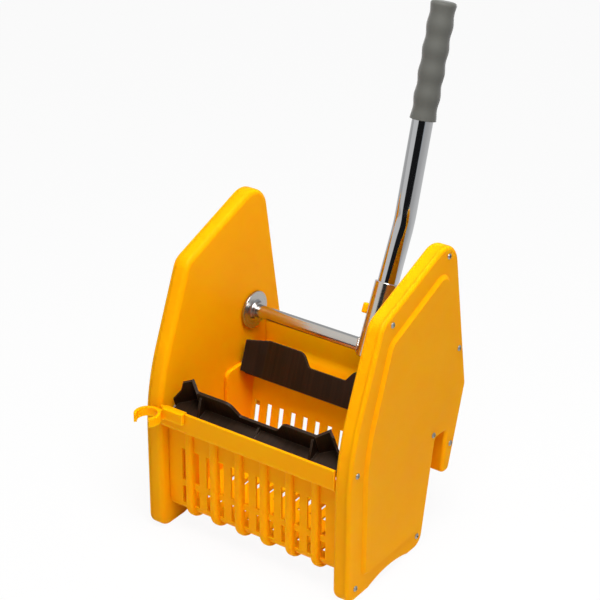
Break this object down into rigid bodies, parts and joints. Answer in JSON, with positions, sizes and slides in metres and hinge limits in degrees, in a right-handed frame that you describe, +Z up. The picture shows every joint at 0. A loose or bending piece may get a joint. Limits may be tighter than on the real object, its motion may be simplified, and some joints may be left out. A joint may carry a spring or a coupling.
{
  "type": "mop wringer",
  "caption": "Down-press mop wringer with moulded side housings, a slotted ribbed basket, a chromed hand lever and geared press plates, which hangs on a bucket's rim.",
  "frame": {"origin": "on the floor under the middle of the whole wringer's bounding box", "axes": "+X to the right housing as seen from the front, +Y to the back where the bucket's rim goes, +Z up"},
  "size_m": [0.338, 0.4092, 0.7008],
  "materials": {
    "body_plastic": "satin moulded plastic, fine grain",
    "plate_plastic": "satin moulded plastic, dark brown",
    "chrome": "bright plated steel",
    "grip_rubber": "soft matt sleeve, warm grey",
    "gear_plastic": "natural engineering plastic",
    "steel": "zinc-plated steel"
  },
  "bodies": {
    "frame": {"basket": "body_plastic", "basket_screws": "steel", "handle_clip": "body_plastic", "shaft_bushes": "gear_plastic", "press_bushes": "gear_plastic", "left_side_frame": "body_plastic", "left_side_cover": "body_plastic", "left_cover_screws": "steel", "left_idler_pins": "steel", "right_side_frame": "body_plastic", "right_side_cover": "body_plastic", "right_cover_screws": "steel", "right_idler_pins": "steel"},
    "lever": {"lever_shaft": "chrome", "lever_socket": "chrome", "lever_tube": "chrome", "lever_grip": "grip_rubber", "lever_gear_screws": "steel", "left_shaft_disc": "chrome", "left_drive_gear": "gear_plastic", "right_shaft_disc": "chrome", "right_drive_gear": "gear_plastic"},
    "lock_pin": {"lever_lock_pin": "body_plastic"},
    "rear_press": {"rear_press_plate": "plate_plastic", "rear_press_shaft": "steel", "rear_press_gear_screws": "steel", "left_rear_press_gear": "gear_plastic", "right_rear_press_gear": "gear_plastic"},
    "front_press": {"front_press_plate": "plate_plastic", "front_press_shaft": "steel", "front_press_gear_screws": "steel", "left_front_press_gear": "gear_plastic", "right_front_press_gear": "gear_plastic"},
    "lever_idlers": {"left_lever_idler": "gear_plastic", "right_lever_idler": "gear_plastic"},
    "rear_idlers": {"left_rear_idler": "gear_plastic", "right_rear_idler": "gear_plastic"},
    "front_idlers": {"left_front_idler": "gear_plastic", "right_front_idler": "gear_plastic"}
  },
  "joints": [
    {"name": "lever_swing", "type": "hinge", "parent": "frame", "child": "lever", "pos_m": [0, 0.0339, 0.2552], "axis": [1, 0, 0], "range_deg": [0, 105]},
    {"name": "rear_press_swing", "type": "hinge", "parent": "frame", "child": "rear_press", "pos_m": [0, 0.0124, 0.174], "axis": [1, 0, 0], "range_deg": [0, 105]},
    {"name": "front_press_swing", "type": "hinge", "parent": "frame", "child": "front_press", "pos_m": [0, -0.1376, 0.174], "axis": [1, 0, 0], "range_deg": [-105, 0]},
    {"name": "lever_idler_spin", "type": "hinge", "parent": "frame", "child": "lever_idlers", "pos_m": [0, 0.02944, 0.21293], "axis": [1, 0, 0], "range_deg": [-150, 0]},
    {"name": "rear_idler_spin", "type": "hinge", "parent": "frame", "child": "rear_idlers", "pos_m": [0, -0.0376, 0.174], "axis": [1, 0, 0], "range_deg": [-105, 0]},
    {"name": "front_idler_spin", "type": "hinge", "parent": "frame", "child": "front_idlers", "pos_m": [0, -0.0876, 0.174], "axis": [1, 0, 0], "range_deg": [0, 105]},
    {"name": "lock_pin_pull", "type": "slide", "parent": "lever", "child": "lock_pin", "axis": [-1, 0, 0], "range_m": [0, 0.04]}
  ],
  "couplings": [
    {"joint": "rear_press_swing", "follows": "lever_swing", "ratio": 1},
    {"joint": "front_press_swing", "follows": "lever_swing", "ratio": -1},
    {"joint": "lever_idler_spin", "follows": "lever_swing", "ratio": -1.4286},
    {"joint": "rear_idler_spin", "follows": "lever_swing", "ratio": -1},
    {"joint": "front_idler_spin", "follows": "lever_swing", "ratio": 1}
  ]
}
